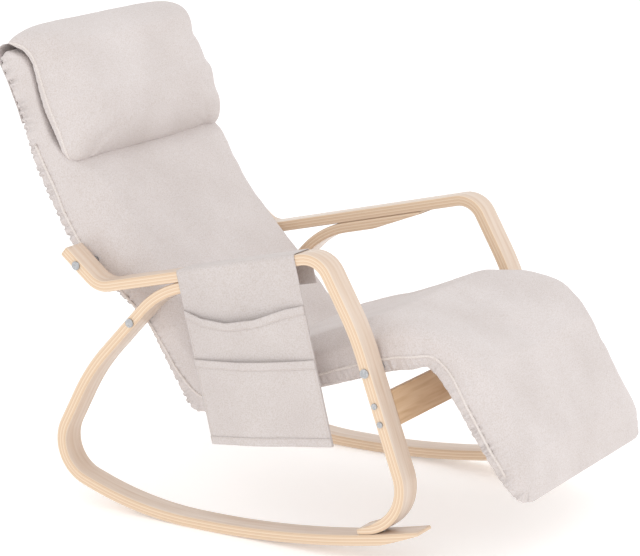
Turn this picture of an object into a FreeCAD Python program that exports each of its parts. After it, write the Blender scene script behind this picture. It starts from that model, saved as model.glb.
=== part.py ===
import FreeCAD, Part
import math
import os

# Rocking lounge chair: two side frames of bent laminated wood, a bent seat and back frame
# bolted between them, a footrest on ratchet hinges, loose cushions, a head pillow and a
# side pocket.  X is the chair's width (+X is the sitter's left), the chair faces -Y and
# stands on Z = 0.

Vector = FreeCAD.Vector

SIZES = {
    # side frames
    "overall_width": 670.0,
    "strip_width": 55.0,
    "strip_thick": 22.0,
    "strip_round": 4.0,
    "glue_gap": 0.2,
    "arm_front_z": 584.0,
    "arm_tip_rise": 39.0,
    "arm_tip_length": 104.0,
    "arm_bend": 50.0,
    "arm_bolt_reach": 63.0,
    "arm_bolt_along": 166.0,
    "arm_bolt_rise": 7.4,
    "leg_high_lean": 29.6,
    "leg_high_length": 162.0,
    "leg_low_lean": 19.8,
    "leg_bend": 500.0,
    "leg_behind_knee": 119.6,
    "foot_bend": 86.0,
    "foot_flat": 22.0,
    "tail_screw_near": 135.0,
    "tail_screw_far": 172.0,
    "foot_screw_near": 14.0,
    "foot_screw_far": 44.0,
    "rocker_low_y": 95.0,
    "rocker_flat": 24.0,
    "rocker_rear_radius": 750.0,
    "rocker_rear_rise": 18.6,
    "rocker_front_radius": 1975.0,
    "rocker_front_rise": 14.2,
    "rocker_tip_length": 6.0,
    "rear_corner_bend": 80.0,
    "tail_tip_behind_bend": 129.0,
    "tail_bend_y": 175.0,
    "tail_bend": 200.0,
    "rear_high_fall": 47.2,
    "rear_high_length": 252.0,
    "rear_low_fall": 62.1,
    "rear_bend": 450.0,
    # crossbar between the front legs
    "crossbar_height": 66.0,
    "crossbar_thick": 20.0,
    "crossbar_z": 298.0,
    "crossbar_bolt_pitch": 36.0,
    # seat and back frame
    "side_gap": 25.0,
    "rail_width": 28.0,
    "rail_depth": 28.0,
    "rail_inset": 15.0,
    "corner_y": 132.5,
    "corner_z": 229.6,
    "seat_slope": 19.0,
    "seat_length": 567.0,
    "low_back_rise": 57.6,
    "low_back_length": 199.0,
    "lumbar_rise": 35.5,
    "lumbar_length": 181.0,
    "mid_back_rise": 53.9,
    "mid_back_length": 179.0,
    "top_back_rise": 74.2,
    "top_back_length": 233.0,
    "rail_bend": 60.0,
    "slat_thick": 8.0,
    "seat_slat_count": 6.0,
    "seat_slat_start": 75.0,
    "seat_slat_end": 40.0,
    "back_slat_count": 9.0,
    "back_slat_start": 85.0,
    "back_slat_end": 105.0,
    "foot_slat_count": 3.0,
    "foot_slat_start": 36.0,
    "foot_slat_end": 94.0,
    "slat_width": 50.0,
    "slat_tenon_gap": 0.2,
    "slat_recess": 3.0,
    "end_rail_width": 40.0,
    # footrest
    "foot_fall": 55.0,
    "foot_length": 290.0,
    "foot_rail_shift": 3.0,
    "knee_gap": 16.0,
    "leaf_thick": 2.7,
    "leaf_length": 70.0,
    "leaf_width": 18.0,
    "leaf_gap": 0.3,
    "hinge_pin_radius": 5.0,
    "hinge_head_radius": 8.0,
    "hinge_head_height": 2.5,
    "hinge_clearance": 0.05,
    "leaf_screw_radius": 2.2,
    "leaf_screw_head_radius": 3.96,
    "leaf_screw_head_height": 1.6,
    "leaf_screw_near": 38.5,
    "leaf_screw_far": 59.5,
    "leaf_screw_length": 16.0,
    # cushions
    "soft_gap": 0.4,
    "back_pad_thick": 72.0,
    "back_pad_top_thick": 9.0,
    "seat_pad_thick": 74.0,
    "seat_pad_knee_thick": 48.0,
    "foot_pad_thick": 36.0,
    "foot_pad_toe_thick": 18.0,
    "knee_sector": 13.0,
    "pad_round": 14.0,
    "pad_overhang": 8.0,
    # head pillow
    "pillow_length": 262.0,
    "pillow_thick": 84.0,
    "pillow_over": 40.0,
    "pillow_side_inset": 3.0,
    "flap_length": 140.0,
    "flap_thick": 3.0,
    # side pocket
    "bag_behind_bend": 23.7,
    "bag_width": 274.0,
    "bag_drop": 345.0,
    "bag_hang_lean": 9.5,
    "bag_flap_drop": 62.0,
    "bag_cloth": 1.2,
    "bag_arm_gap": 0.4,
    "rear_pocket_height": 215.0,
    "rear_pocket_depth": 5.0,
    "front_pocket_height": 160.0,
    "front_pocket_depth": 4.5,
    "pocket_seam": 6.0,
    # fasteners
    "bolt_radius": 4.0,
    "bolt_head_radius": 9.0,
    "bolt_head_height": 3.0,
    "bolt_depth": 20.0,
    "bolt_clearance": 0.05,
    "spacer_radius": 7.0,
    "crossbar_bolt_radius": 3.0,
    "crossbar_bolt_depth": 45.0,
    "screw_radius": 2.5,
    "screw_head_radius": 4.5,
    "screw_head_height": 3.0,
    "screw_length": 34.0,
}

doc = FreeCAD.newDocument("rocking_lounge_chair")
sheet = doc.addObject("Spreadsheet::Sheet", "sizes")
for row, (name, value) in enumerate(SIZES.items(), start=1):
    sheet.set(f"A{row}", name)
    sheet.set(f"B{row}", str(value))
    sheet.setAlias(f"B{row}", name)
doc.recompute()


def size(name):
    return float(sheet.get(name))


# ---------------------------------------------------------------- plane geometry (Y, Z)


def heading(angle):
    """Unit direction in the (Y, Z) plane at an angle in degrees from +Y towards +Z."""
    return Vector(math.cos(math.radians(angle)), math.sin(math.radians(angle)), 0)


def left_of(direction):
    return Vector(-direction.y, direction.x, 0)


def crossing(point, direction, other_point, other_direction):
    """Where two straight lines cross."""
    across = left_of(other_direction)
    along = (other_point - point).dot(across) / direction.dot(across)
    return point + direction * along


def offset_corners(corners, distance):
    """Corners of a bent line moved to its left by a distance; arcs stay concentric."""
    moved = []
    last = len(corners) - 1
    for index, (point, radius) in enumerate(corners):
        before = (point - corners[max(index - 1, 0)][0])
        after = (corners[min(index + 1, last)][0] - point)
        if index == 0:
            before = after
        if index == last:
            after = before
        before.normalize()
        after.normalize()
        bisector = left_of(before) + left_of(after)
        bisector = bisector * (2.0 / bisector.dot(bisector))
        turn = before.x * after.y - before.y * after.x
        new_radius = radius - distance * math.copysign(1.0, turn) if radius else 0.0
        moved.append((point + bisector * distance, max(new_radius, 0.0)))
    return moved


def rounded(corners, closed):
    """Lines and arcs along corners given as (point, radius)."""
    count = len(corners)
    bends = []
    for index, (point, radius) in enumerate(corners):
        at_end = not closed and index in (0, count - 1)
        before = (corners[index - 1][0] - point)
        after = (corners[(index + 1) % count][0] - point)
        if at_end or radius < 0.01:
            bends.append((point, None, point))
            continue
        before.normalize()
        after.normalize()
        half = before.getAngle(after) / 2.0
        reach = radius / math.tan(half)
        middle_way = (before + after)
        middle_way.normalize()
        middle = point + middle_way * (radius / math.sin(half) - radius)
        bends.append((point + before * reach, middle, point + after * reach))
    pieces = []
    for index in range(count):
        start, middle, end = bends[index]
        if middle is not None:
            pieces.append(Part.Arc(start, middle, end))
        if index < count - 1 or closed:
            following = bends[(index + 1) % count][0]
            if end.distanceToPoint(following) > 1e-4:
                pieces.append(Part.LineSegment(end, following))
    return pieces


def strip_outline(corners, thick):
    """Closed outline of a strip of even thickness bent along corners."""
    ahead = offset_corners(corners, thick / 2.0)
    back = offset_corners(corners, -thick / 2.0)
    return rounded(ahead + back[::-1], True)


def walk(corners, step_from, spacing, number):
    """Points and headings at even spacing along the rounded line."""
    edges = [piece.toShape() for piece in rounded(corners, False)]
    wire = Part.Wire(Part.__sortEdges__(edges))
    total = wire.Length
    places = []
    for index in range(number):
        distance = step_from + spacing * index
        samples = wire.discretize(Distance=1.0)
        nearest = min(int(round(distance / total * (len(samples) - 1))), len(samples) - 2)
        ahead = samples[nearest + 1] - samples[nearest]
        if (samples[0] - corners[0][0]).Length > 1.0:
            raise ValueError("the line starts at its wrong end")
        places.append((samples[nearest], math.degrees(math.atan2(ahead.y, ahead.x))))
    return places


# ---------------------------------------------------------------- building helpers

nodes = []


def origin_plane(body, role):
    for feature in body.Origin.OriginFeatures:
        if feature.Role == role:
            return feature
    raise ValueError(role)


def plate(name, outline, width, centre, round_over=None):
    """A body whose (Y, Z) outline is padded across the chair, centred on X = centre."""
    body = doc.addObject("PartDesign::Body", name)
    body.Label = name
    sketch = body.newObject("Sketcher::SketchObject", name + "_outline")
    sketch.AttachmentSupport = [(origin_plane(body, "YZ_Plane"), "")]
    sketch.MapMode = "FlatFace"
    for piece in outline:
        sketch.addGeometry(piece)
    pad = body.newObject("PartDesign::Pad", name + "_pad")
    pad.Profile = sketch
    pad.setExpression("Length", width)
    pad.SideType = "Symmetric"
    body.setExpression("Placement.Base.x", centre)
    if round_over:
        doc.recompute()
        half = size_of(width) / 2.0
        rims = []
        for number, edge in enumerate(pad.Shape.Edges, start=1):
            box = edge.BoundBox
            if box.XLength < 1e-6 and abs(abs(box.XMin) - half) < 1e-6:
                rims.append(f"Edge{number}")
        fillet = body.newObject("PartDesign::Fillet", name + "_rounding")
        fillet.Base = (pad, rims)
        fillet.setExpression("Radius", round_over)
    nodes.append(body)
    return body


def size_of(expression):
    """The value of a sheet expression such as sizes.a - 2 * sizes.b."""
    holder = doc.addObject("App::FeaturePython", "reader")
    holder.addProperty("App::PropertyFloat", "Value")
    holder.setExpression("Value", expression)
    doc.recompute()
    value = float(holder.Value)
    doc.removeObject(holder.Name)
    return value


def drill(body, start, way, radius, length):
    """A round hole in a body: start and way are in the body's own frame."""
    hole = body.newObject("PartDesign::SubtractiveCylinder", body.Label + "_hole")
    hole.setExpression("Radius", radius)
    hole.Height = length
    turn = FreeCAD.Rotation(Vector(0, 0, 1), way)
    hole.Placement = FreeCAD.Placement(start, turn)
    return hole


def cylinder(name, start, way, radius, length):
    """A plain cylinder from a start point along a direction."""
    solid = doc.addObject("Part::Cylinder", name)
    solid.setExpression("Radius", radius)
    solid.Height = length
    solid.Placement = FreeCAD.Placement(start, FreeCAD.Rotation(Vector(0, 0, 1), way))
    return solid


def fused(name, parts):
    joined = doc.addObject("Part::MultiFuse", name)
    joined.Shapes = parts
    return joined


def group(name, parts):
    """Separate solids that share one node."""
    bundle = doc.addObject("Part::Compound", name)
    bundle.Label = name
    bundle.Links = parts
    nodes.append(bundle)
    return bundle


def slat(name, place, angle, width, thick, length):
    """A board across the chair, centred on a (Y, Z) place and turned to an angle."""
    board = doc.addObject("Part::Box", name)
    board.setExpression("Length", length)
    board.setExpression("Width", width)
    board.setExpression("Height", thick)
    turn = FreeCAD.Rotation(Vector(1, 0, 0), angle)
    half = Vector(size_of(length) / 2.0, size_of(width) / 2.0, size_of(thick) / 2.0)
    board.Placement = FreeCAD.Placement(at(0.0, place) - turn.multVec(half), turn)
    return board


def at(x, point):
    """A (Y, Z) point lifted into the chair's frame."""
    return Vector(x, point.x, point.y)


SIDES = (("right", -1), ("left", 1))
half_width = size("overall_width") / 2.0
inner_face = half_width - size("strip_width")
strip_centre = "(sizes.overall_width - sizes.strip_width) / 2"

# ---------------------------------------------------------------- seat and back lines

seat_way = heading(180 - size("seat_slope"))
seat_corner = Vector(size("corner_y"), size("corner_z"), 0)
knee = seat_corner + seat_way * size("seat_length")
rail_end = seat_corner + seat_way * (size("seat_length") - size("knee_gap"))
lumbar_low = seat_corner + heading(size("low_back_rise")) * size("low_back_length")
lumbar_high = lumbar_low + heading(size("lumbar_rise")) * size("lumbar_length")
shoulder = lumbar_high + heading(size("mid_back_rise")) * size("mid_back_length")
back_top = shoulder + heading(size("top_back_rise")) * size("top_back_length")
bend = size("rail_bend")
rail_line = [
    (back_top, 0.0),
    (shoulder, 4 * bend),
    (lumbar_high, 2 * bend),
    (lumbar_low, 2 * bend),
    (seat_corner, bend),
    (rail_end, 0.0),
]
foot_way = heading(180 + size("foot_fall"))
foot_top = knee + foot_way * size("knee_gap")
foot_toe = knee + foot_way * (size("foot_length") - size("rail_inset"))

front_bolt = knee - seat_way * size("leg_behind_knee")
lumbar_way = heading(size("lumbar_rise"))
arm_bolt = (lumbar_low + lumbar_way * size("arm_bolt_along")
            + left_of(lumbar_way) * size("arm_bolt_rise"))

# ---------------------------------------------------------------- side frame lines

thick = size("strip_thick")
leg_way = heading(-90 - size("leg_low_lean"))
leg_high = heading(-90 - size("leg_high_lean")) * size("leg_high_length")
leg_knee = crossing(front_bolt, leg_way, Vector(0, size("arm_front_z"), 0) + leg_high,
                    Vector(1, 0, 0))
arm_front = leg_knee - leg_high
arm_dip = arm_bolt - heading(size("arm_tip_rise")) * size("arm_bolt_reach")
arm_tip = arm_dip + heading(size("arm_tip_rise")) * size("arm_tip_length")
arm_way = arm_dip - arm_front
arm_way.normalize()

# the rocker stands on a short flat, flatter in front of it and rounder behind it
rocker_middle = Vector(size("rocker_low_y"), thick / 2.0, 0)


def on_rocker(angle, radius, above):
    """A point above the rocker's middle line, at an angle that rises from the flat to the rear."""
    flat_end = rocker_middle + Vector(math.copysign(size("rocker_flat") / 2.0, angle), 0, 0)
    return flat_end + Vector(0, radius, 0) + heading(angle - 90) * (radius - above)


# the leg's foot bends back to lie along the rocker where the leg comes down on it
foot_angle = -size("rocker_front_rise")
foot_above = thick + 2 * size("glue_gap")
for attempt in range(20):
    foot_turn = 90 + size("leg_low_lean") + foot_angle
    foot_reach = size("foot_bend") * math.tan(math.radians(foot_turn / 2.0))
    foot_middle = on_rocker(foot_angle, size("rocker_front_radius"), foot_above)
    foot_corner = crossing(leg_knee, leg_way, foot_middle, heading(foot_angle))
    excess = (foot_middle - foot_corner).Length - foot_reach - size("foot_flat") / 2.0
    foot_angle -= math.degrees(excess / size("rocker_front_radius"))
foot_end = foot_corner + heading(foot_angle) * (foot_reach + size("foot_flat"))
arm_line = [
    (arm_tip, 0.0),
    (arm_dip, size("arm_bend")),
    (arm_front, size("arm_bend")),
    (leg_knee, size("leg_bend")),
    (foot_corner, size("foot_bend")),
    (foot_end, 0.0),
]

tail_drop = left_of(arm_way) * (-thick - size("glue_gap"))
tail_point = arm_front + tail_drop
tail_tip = tail_point + arm_way * size("tail_tip_behind_bend")
tail_bend = crossing(tail_point, arm_way, Vector(size("tail_bend_y"), 0, 0), Vector(0, 1, 0))
rear_knee = tail_bend + heading(-size("rear_high_fall")) * size("rear_high_length")
rear_start = on_rocker(size("rocker_rear_rise"), size("rocker_rear_radius"), 0.0)
front_start = on_rocker(-size("rocker_front_rise"), size("rocker_front_radius"), 0.0)
rear_way = heading(size("rocker_rear_rise"))
front_way = heading(180 - size("rocker_front_rise"))
rear_corner = crossing(rear_knee, heading(-size("rear_low_fall")), rear_start, rear_way)
rocker_behind = crossing(rear_start, rear_way, rocker_middle, Vector(1, 0, 0))
rocker_ahead = crossing(front_start, front_way, rocker_middle, Vector(1, 0, 0))
tip_end = front_start + front_way * size("rocker_tip_length")
rocker_line = [
    (tail_tip, 0.0),
    (tail_bend, size("tail_bend")),
    (rear_knee, size("rear_bend")),
    (rear_corner, size("rear_corner_bend")),
    (rocker_behind, size("rocker_rear_radius")),
    (rocker_ahead, size("rocker_front_radius")),
    (tip_end, 0.0),
]

rear_bolt = crossing(tail_bend, heading(-size("rear_high_fall")),
                     lumbar_low, heading(size("lumbar_rise")))
crossbar_middle = crossing(leg_knee, leg_way, Vector(0, size("crossbar_z"), 0), Vector(1, 0, 0))
crossbar_bolts = [
    crossbar_middle + leg_way * (size("crossbar_bolt_pitch") / 2.0),
    crossbar_middle - leg_way * (size("crossbar_bolt_pitch") / 2.0),
]
tail_screws = [tail_tip + arm_way * reach
               for reach in (size("tail_screw_near"), size("tail_screw_far"))]
rocker_screws = [foot_end + heading(180 + foot_angle) * reach
                 for reach in (size("foot_screw_near"), size("foot_screw_far"))]

# ---------------------------------------------------------------- side frames

for side, sign in SIDES:
    centre = f"{sign} * {strip_centre}"
    arm = plate(f"{side}_arm_leg", strip_outline(arm_line, thick),
                "sizes.strip_width", centre, "sizes.strip_round")
    rocker = plate(f"{side}_rocker", strip_outline(rocker_line, thick),
                   "sizes.strip_width", centre, "sizes.strip_round")
    across = Vector(1, 0, 0)
    reach = 2 * size("strip_width")
    clear = "sizes.bolt_radius + sizes.bolt_clearance"
    small_clear = "sizes.crossbar_bolt_radius + sizes.bolt_clearance"
    drill(arm, at(-reach / 2, arm_bolt), across, clear, reach)
    drill(arm, at(-reach / 2, front_bolt), across, clear, reach)
    for place in crossbar_bolts:
        drill(arm, at(-reach / 2, place), across, small_clear, reach)
    drill(rocker, at(-reach / 2, rear_bolt), across, clear, reach)
    # screws from below hold the rear leg's tail to the arm and the front foot to the rocker
    screw_clear = "sizes.screw_radius + sizes.bolt_clearance"
    head_clear = "sizes.screw_head_radius + sizes.bolt_clearance"
    up_arm = Vector(0, left_of(arm_way).x, left_of(arm_way).y)
    up_foot = Vector(0, left_of(heading(foot_angle)).x, left_of(heading(foot_angle)).y)
    for place, up, lowest in (
        [(place, up_arm, thick / 2.0) for place in tail_screws]
        + [(place, up_foot, thick * 1.5 + 3 * size("glue_gap")) for place in rocker_screws]
    ):
        base = at(0.0, place) - up * lowest
        deep = size("screw_length")
        drill(rocker, base - up * 2.0, up, head_clear, size("screw_head_height") + 2.0)
        drill(rocker, base, up, screw_clear, thick * 1.5)
        drill(arm, base, up, screw_clear, deep)
    doc.recompute()

crossbar_way = leg_way
crossbar_outline = strip_outline(
    [(crossbar_middle - crossbar_way * (size("crossbar_height") / 2.0), 0.0),
     (crossbar_middle + crossbar_way * (size("crossbar_height") / 2.0), 0.0)],
    size("crossbar_thick"))
crossbar = plate("front_crossbar", crossbar_outline,
                 "sizes.overall_width - 2 * sizes.strip_width", "0")
for side, sign in SIDES:
    for place in crossbar_bolts:
        drill(crossbar, at(sign * inner_face, place), Vector(-sign, 0, 0), small_clear,
              size("crossbar_bolt_depth"))

# ---------------------------------------------------------------- seat and back frame

rail_outer = ("sizes.overall_width / 2 - sizes.strip_width - sizes.side_gap"
              " - sizes.rail_inset")
rail_outer_x = size_of(rail_outer)
rail_centre = f"({rail_outer} - sizes.rail_width / 2)"
rail_inner_x = rail_outer_x - size("rail_width")
bolt_deep = size("bolt_depth")
for side, sign in SIDES:
    rail = plate(f"{side}_seat_back_rail", strip_outline(rail_line, size("rail_depth")),
                 "sizes.rail_width", f"{sign} * {rail_centre}")
    for place in (arm_bolt, rear_bolt, front_bolt):
        drill(rail, at(sign * size("rail_width") / 2.0, place), Vector(-sign, 0, 0), clear,
              bolt_deep)

board_length = f"2 * ({rail_outer} - sizes.rail_width - sizes.slat_tenon_gap)"
rail_face = size("rail_depth") / 2.0 - size("slat_thick") / 2.0 - size("slat_recess")
seat_stretch = [(seat_corner, 0.0), (rail_end, 0.0)]
seat_boards = []
seat_count = int(size("seat_slat_count"))
seat_start = size("seat_slat_start")
seat_span = size("seat_length") - size("knee_gap") - size("end_rail_width")
seat_spacing = (seat_span - seat_start - size("seat_slat_end")) / (seat_count - 1)
seat_places = walk(seat_stretch, seat_start, seat_spacing, seat_count)
for index, (place, angle) in enumerate(seat_places):
    raised = place - left_of(heading(angle)) * rail_face
    seat_boards.append(slat(f"seat_slat_{index}", raised, angle, "sizes.slat_width",
                            "sizes.slat_thick", board_length))
group("seat_slats", seat_boards)
back_boards = []
back_count = int(size("back_slat_count"))
back_start = size("back_slat_start")
back_total = (size("low_back_length") + size("lumbar_length") + size("mid_back_length")
              + size("top_back_length"))
back_spacing = (back_total - back_start - size("back_slat_end")) / (back_count - 1)
back_places = walk(rail_line, back_start, back_spacing, back_count)
for index, (place, angle) in enumerate(back_places):
    raised = place - left_of(heading(angle)) * rail_face
    back_boards.append(slat(f"back_slat_{index}", raised, angle, "sizes.slat_width",
                            "sizes.slat_thick", board_length))
group("back_slats", back_boards)
top_way = heading(size("top_back_rise"))
end_half = size("end_rail_width") / 2.0
slat_board = slat("top_rail", back_top - top_way * end_half, size("top_back_rise"),
                  "sizes.end_rail_width", "sizes.rail_depth", board_length)
slat_board.Label = "back_top_rail"
nodes.append(slat_board)
front_board = slat("front_rail", rail_end - seat_way * end_half, 180 - size("seat_slope"),
                   "sizes.end_rail_width", "sizes.rail_depth", board_length)
front_board.Label = "seat_front_rail"
nodes.append(front_board)

# ---------------------------------------------------------------- footrest frame

foot_rail_outer = f"({rail_outer} + sizes.foot_rail_shift)"
foot_rail_x = size_of(foot_rail_outer)
foot_line = [(foot_top, 0.0), (foot_toe, 0.0)]
for side, sign in SIDES:
    plate(f"{side}_footrest_rail", strip_outline(foot_line, size("rail_depth")),
          "sizes.rail_width", f"{sign} * ({foot_rail_outer} - sizes.rail_width / 2)")
foot_board_length = (f"2 * ({foot_rail_outer} - sizes.rail_width"
                     " - sizes.slat_tenon_gap)")
foot_boards = []
foot_count = int(size("foot_slat_count"))
foot_start = size("foot_slat_start")
foot_spacing = (size("foot_length") - foot_start - size("foot_slat_end")) / (foot_count - 1)
foot_places = walk(foot_line, foot_start, foot_spacing, foot_count)
for index, (place, angle) in enumerate(foot_places):
    raised = place - left_of(heading(angle)) * rail_face
    foot_boards.append(slat(f"footrest_slat_{index}", raised, angle, "sizes.slat_width",
                            "sizes.slat_thick", foot_board_length))
group("footrest_slats", foot_boards)
toe_board = slat("toe_rail", foot_toe - foot_way * (end_half / 2.0), 180 + size("foot_fall"),
                 "sizes.end_rail_width / 2", "sizes.rail_depth", foot_board_length)
toe_board.Label = "footrest_toe_rail"
nodes.append(toe_board)

# ---------------------------------------------------------------- ratchet hinges

leaf_reach = size("leaf_length")
leaf_half = size("leaf_width") / 2.0
pin_hole = "sizes.hinge_pin_radius + sizes.hinge_clearance"
screw_hole = "sizes.leaf_screw_radius + sizes.bolt_clearance"
leaf_screw_at = (size("leaf_screw_near"), size("leaf_screw_far"))


def leaf_outline(way):
    """A plate rounded about the hinge pin, reaching along one rail."""
    near = knee - way * leaf_half
    far = knee + way * leaf_reach
    offset = left_of(way) * leaf_half
    corner = leaf_half - 0.01
    return rounded([(near + offset, corner), (near - offset, corner),
                    (far - offset, 3.0), (far + offset, 3.0)], True)


seat_leaf_way = seat_way * -1
pins = []
seat_leaf_screws = []
foot_leaf_screws = []
for side, sign in SIDES:
    seat_leaf = plate(f"{side}_hinge_seat_leaf", leaf_outline(seat_leaf_way),
                      "sizes.leaf_thick", f"{sign} * ({rail_outer} + sizes.leaf_thick / 2)")
    foot_leaf = plate(f"{side}_hinge_foot_leaf", leaf_outline(foot_way),
                      "sizes.leaf_thick",
                      f"{sign} * ({foot_rail_outer} + sizes.leaf_thick / 2)")
    for leaf, way, face, screws in (
        (seat_leaf, seat_leaf_way, rail_outer_x, seat_leaf_screws),
        (foot_leaf, foot_way, foot_rail_x, foot_leaf_screws),
    ):
        deep = 4 * size("leaf_thick")
        drill(leaf, at(-deep / 2, knee), across, pin_hole, deep)
        for reach in leaf_screw_at:
            place = knee + way * reach
            drill(leaf, at(-deep / 2, place), across, screw_hole, deep)
            name = f"{side}_leaf_screw_{len(screws)}_{face:.0f}".replace(".", "_")
            face_x = face + size("leaf_thick")
            shank = cylinder(name + "_shank", at(sign * (face_x + 0.5), place),
                             Vector(-sign, 0, 0), "sizes.leaf_screw_radius",
                             size("leaf_screw_length"))
            head = cylinder(name + "_head", at(sign * face_x, place), Vector(sign, 0, 0),
                            "sizes.leaf_screw_head_radius", size("leaf_screw_head_height"))
            screws.append(fused(name, [shank, head]))
    pin_start = rail_outer_x
    pin_length = foot_rail_x + size("leaf_thick") + size("leaf_gap") - pin_start
    shank = cylinder(f"{side}_hinge_pin_shank", at(sign * pin_start, knee),
                     Vector(sign, 0, 0), "sizes.hinge_pin_radius",
                     pin_length + size("hinge_head_height"))
    head = cylinder(f"{side}_hinge_pin_head", at(sign * (pin_start + pin_length), knee),
                    Vector(sign, 0, 0), "sizes.hinge_head_radius",
                    size("hinge_head_height"))
    pins.append(fused(f"{side}_hinge_pin", [shank, head]))
group("hinge_pins", pins)
group("seat_leaf_screws", seat_leaf_screws)
group("foot_leaf_screws", foot_leaf_screws)
for side, sign in SIDES:
    for way, label, face in ((seat_leaf_way, f"{side}_seat_back_rail", rail_outer_x),
                             (foot_way, f"{side}_footrest_rail", foot_rail_x)):
        rail = [node for node in nodes if node.Label == label][0]
        for reach in leaf_screw_at:
            place = knee + way * reach
            drill(rail, at(sign * size("rail_width") / 2.0, place), Vector(-sign, 0, 0),
                  screw_hole, size("leaf_screw_length"))

# ---------------------------------------------------------------- fasteners

frame_bolts = []
spacers = []
crossbar_fixings = []
for side, sign in SIDES:
    for index, place in enumerate((arm_bolt, rear_bolt, front_bolt)):
        inward = Vector(-sign, 0, 0)
        length = half_width - rail_outer_x + bolt_deep - 1.0
        shank = cylinder(f"{side}_bolt_{index}_shank", at(sign * (half_width + 1.0), place),
                         inward, "sizes.bolt_radius", length)
        head = cylinder(f"{side}_bolt_{index}_head", at(sign * half_width, place),
                        Vector(sign, 0, 0), "sizes.bolt_head_radius",
                        size("bolt_head_height"))
        frame_bolts.append(fused(f"{side}_bolt_{index}", [shank, head]))
        tube = cylinder(f"{side}_tube_{index}", at(sign * inner_face, place), inward,
                        "sizes.spacer_radius", inner_face - rail_outer_x)
        bore = cylinder(f"{side}_bore_{index}", at(sign * (inner_face + 1), place), inward,
                        "sizes.bolt_radius + sizes.bolt_clearance",
                        inner_face - rail_outer_x + 2)
        sleeve = doc.addObject("Part::Cut", f"{side}_spacer_{index}")
        sleeve.Base = tube
        sleeve.Tool = bore
        spacers.append(sleeve)
    for index, place in enumerate(crossbar_bolts):
        shank = cylinder(f"{side}_crossbar_shank_{index}",
                         at(sign * (half_width + 1.0), place), Vector(-sign, 0, 0),
                         "sizes.crossbar_bolt_radius",
                         size("strip_width") + size("crossbar_bolt_depth"))
        head = cylinder(f"{side}_crossbar_head_{index}", at(sign * half_width, place),
                        Vector(sign, 0, 0), "sizes.crossbar_bolt_radius * 2",
                        size("bolt_head_height"))
        crossbar_fixings.append(fused(f"{side}_crossbar_bolt_{index}", [shank, head]))
group("frame_bolts", frame_bolts)
group("frame_spacers", spacers)
group("crossbar_bolts", crossbar_fixings)

lap_screws = []
for side, sign in SIDES:
    strip_x = sign * size_of(strip_centre)
    places = ([(place, up_arm, thick / 2.0) for place in tail_screws]
              + [(place, up_foot, thick * 1.5 + 3 * size("glue_gap"))
                 for place in rocker_screws])
    for index, (place, up, lowest) in enumerate(places):
        base = at(strip_x, place) - up * (lowest - 1.2)
        shank = cylinder(f"{side}_lap_shank_{index}", base, up, "sizes.screw_radius",
                         size("screw_length") - 4.0)
        head = cylinder(f"{side}_lap_head_{index}", base, up, "sizes.screw_head_radius",
                        size("screw_head_height") - 1.4)
        lap_screws.append(fused(f"{side}_lap_screw_{index}", [shank, head]))
group("lap_screws", lap_screws)

# ---------------------------------------------------------------- cushions

cushion_width = "sizes.overall_width - 2 * sizes.strip_width - 2 * sizes.side_gap"
rest_face = size("rail_depth") / 2.0 + size("soft_gap")
back_line = [(seat_corner, 0.0), (lumbar_low, 2 * bend), (lumbar_high, 2 * bend),
             (shoulder, 4 * bend), (back_top + top_way * size("pad_overhang"), 0.0)]
seat_up = left_of(seat_way) * -1
low_back_way = heading(size("low_back_rise"))
back_rear = offset_corners(back_line, rest_face)
back_front = offset_corners(back_line, rest_face + size("back_pad_thick"))
seat_low = seat_corner + seat_up * rest_face
seat_high = seat_corner + seat_up * (rest_face + size("seat_pad_thick"))
inner_corner = crossing(back_rear[0][0], low_back_way, seat_low, seat_way)
crease = crossing(back_front[0][0], low_back_way, seat_high, seat_way)
crease_way = (crease - inner_corner)
crease_way.normalize()
pad_gap = left_of(crease_way) * (size("soft_gap") / 2.0)
soft = size("pad_round")

# the rails turn the seat's rear corner on an arc, so both cushions are cut back there
corner_half = math.radians(180 - size("seat_slope") - size("low_back_rise")) / 2.0
corner_radius = bend - rest_face
corner_bite = corner_radius * (1 / math.sin(corner_half) - 1)
corner_reach = corner_radius / math.tan(corner_half)
bite = inner_corner + crease_way * corner_bite
back_low_front = crossing(inner_corner - pad_gap, crease_way, back_front[0][0], low_back_way)
taper_top = back_rear[-1][0] + left_of(top_way) * size("back_pad_top_thick")
back_outline = (
    [(bite - pad_gap, 0.0), (inner_corner + low_back_way * corner_reach, 0.0)]
    + back_rear[1:4] + [(back_rear[-1][0], 3.0), (taper_top, 5.0)]
    + [(back_front[3][0], 80.0), back_front[2], back_front[1], (back_low_front, soft)]
)
back_pad = plate("back_pad", rounded(back_outline, True), cushion_width, "0")

seat_high_rear = crossing(inner_corner + pad_gap, crease_way, seat_high, seat_way)
seat_end_way = heading(90 + size("knee_sector") - size("seat_slope"))
seat_low_end = crossing(knee, seat_end_way, seat_low, seat_way)
knee_high = knee + seat_up * (rest_face + size("seat_pad_knee_thick"))
seat_high_end = crossing(knee, seat_end_way, knee_high, seat_way)
thigh = seat_high + seat_way * (size("seat_length") * 0.72)
seat_outline = [(inner_corner + seat_way * corner_reach, 0.0), (bite + pad_gap, 0.0),
                (seat_high_rear, soft), (thigh, 150.0), (seat_high_end, soft),
                (seat_low_end, 0.0)]
seat_pad = plate("seat_pad", rounded(seat_outline, True), cushion_width, "0")

foot_up = left_of(foot_way) * -1
foot_low = knee + foot_up * rest_face
foot_high = knee + foot_up * (rest_face + size("foot_pad_thick"))
foot_end_way = heading(180 - (90 - size("foot_fall")) - size("knee_sector"))
toe_reach = foot_way * size("foot_length")
foot_outline = [
    (crossing(knee, foot_end_way, foot_low, foot_way), 0.0),
    (crossing(knee, foot_end_way, foot_high, foot_way), soft),
    (foot_low + toe_reach + foot_up * size("foot_pad_toe_thick"), soft),
    (foot_low + toe_reach, 2.0),
]
foot_pad = plate("footrest_pad", rounded(foot_outline, True), cushion_width, "0")

# ---------------------------------------------------------------- head pillow

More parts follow.
